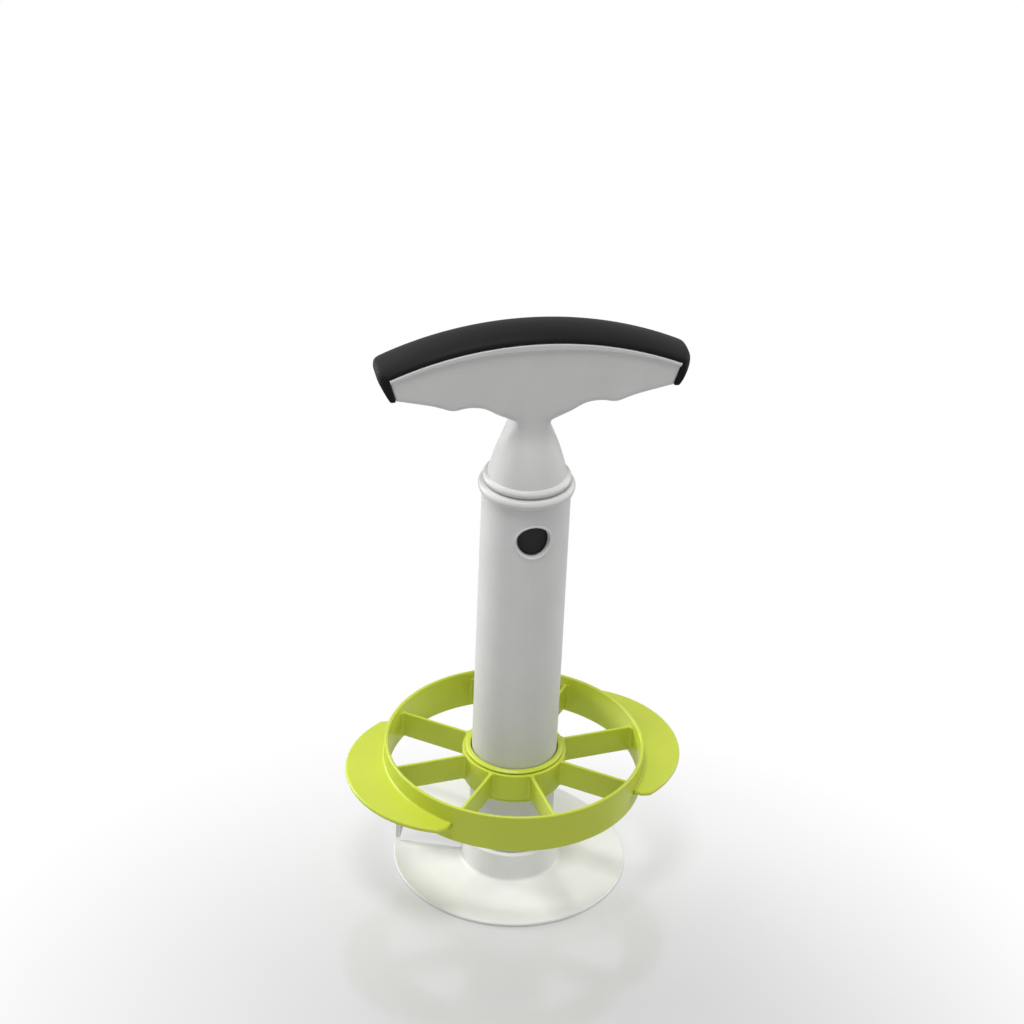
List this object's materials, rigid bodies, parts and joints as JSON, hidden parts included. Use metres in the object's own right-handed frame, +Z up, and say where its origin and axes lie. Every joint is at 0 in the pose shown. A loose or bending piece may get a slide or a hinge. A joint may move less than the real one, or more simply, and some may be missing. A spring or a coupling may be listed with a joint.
{
  "type": "pineapple slicer",
  "caption": "Hand slicer for whole pineapples: toothed corer tube on a spiral slicing disc, T handle that lifts off at its release buttons, and a winged wedger ring with radial blades.",
  "frame": {"origin": "on the corer tube's axis, at the level that the disc and the tube's teeth stand on", "axes": "+Z up the corer tube to the handle, X along the handle, and the front release button faces -Y"},
  "size_m": [0.1286, 0.0978, 0.2299],
  "materials": {
    "tube_plastic": "satin light grey",
    "disc_plastic": "satin white",
    "handle_plastic": "satin light grey",
    "grip_rubber": "matte black",
    "button_plastic": "matte black",
    "inner_plastic": "matte grey",
    "wedger_plastic": "satin yellow-green",
    "steel": "bright steel"
  },
  "bodies": {
    "corer": {"core_tube": "tube_plastic", "slicing_base": "disc_plastic"},
    "handle": {"handle_body": "handle_plastic", "tube_collar": "handle_plastic", "soft_grip": "grip_rubber", "grip_carrier": "inner_plastic", "plug_half_front": "inner_plastic", "plug_half_rear": "inner_plastic", "plug_cap": "inner_plastic", "spring_plate": "inner_plastic", "plug_screw": "steel", "plug_nut": "steel", "cap_screw_front": "steel", "cap_screw_rear": "steel", "button_spring_front": "steel", "button_spring_rear": "steel"},
    "front_button": {"release_button_front": "button_plastic"},
    "rear_button": {"release_button_rear": "button_plastic"},
    "sleeve": {"wedger_sleeve": "wedger_plastic"},
    "wedger": {"wedger_ring": "wedger_plastic", "wedger_hub": "wedger_plastic", "wedger_blade_1": "wedger_plastic", "wedger_blade_2": "wedger_plastic", "wedger_blade_3": "wedger_plastic", "wedger_blade_4": "wedger_plastic", "wedger_blade_5": "wedger_plastic", "wedger_blade_6": "wedger_plastic", "wedger_blade_7": "wedger_plastic", "wedger_blade_8": "wedger_plastic"}
  },
  "joints": [
    {"name": "handle_lift", "type": "slide", "parent": "corer", "child": "handle", "axis": [0, 0, 1], "range_m": [0, 0.045]},
    {"name": "button_front_press", "type": "slide", "parent": "handle", "child": "front_button", "axis": [0, 1, 0], "range_m": [0, 0.0025], "stiffness_N_per_m": 400, "springref_m": -0.002, "deforming": ["button_spring_front"]},
    {"name": "button_rear_press", "type": "slide", "parent": "handle", "child": "rear_button", "axis": [0, -1, 0], "range_m": [0, 0.0025], "stiffness_N_per_m": 400, "springref_m": -0.002, "deforming": ["button_spring_rear"]},
    {"name": "wedger_slide", "type": "slide", "parent": "corer", "child": "sleeve", "axis": [0, 0, 1], "range_m": [-0.0245, 0.11]},
    {"name": "wedger_turn", "type": "hinge", "parent": "sleeve", "child": "wedger", "pos_m": [0, 0, 0.0455], "axis": [0, 0, 1], "continuous": true}
  ]
}
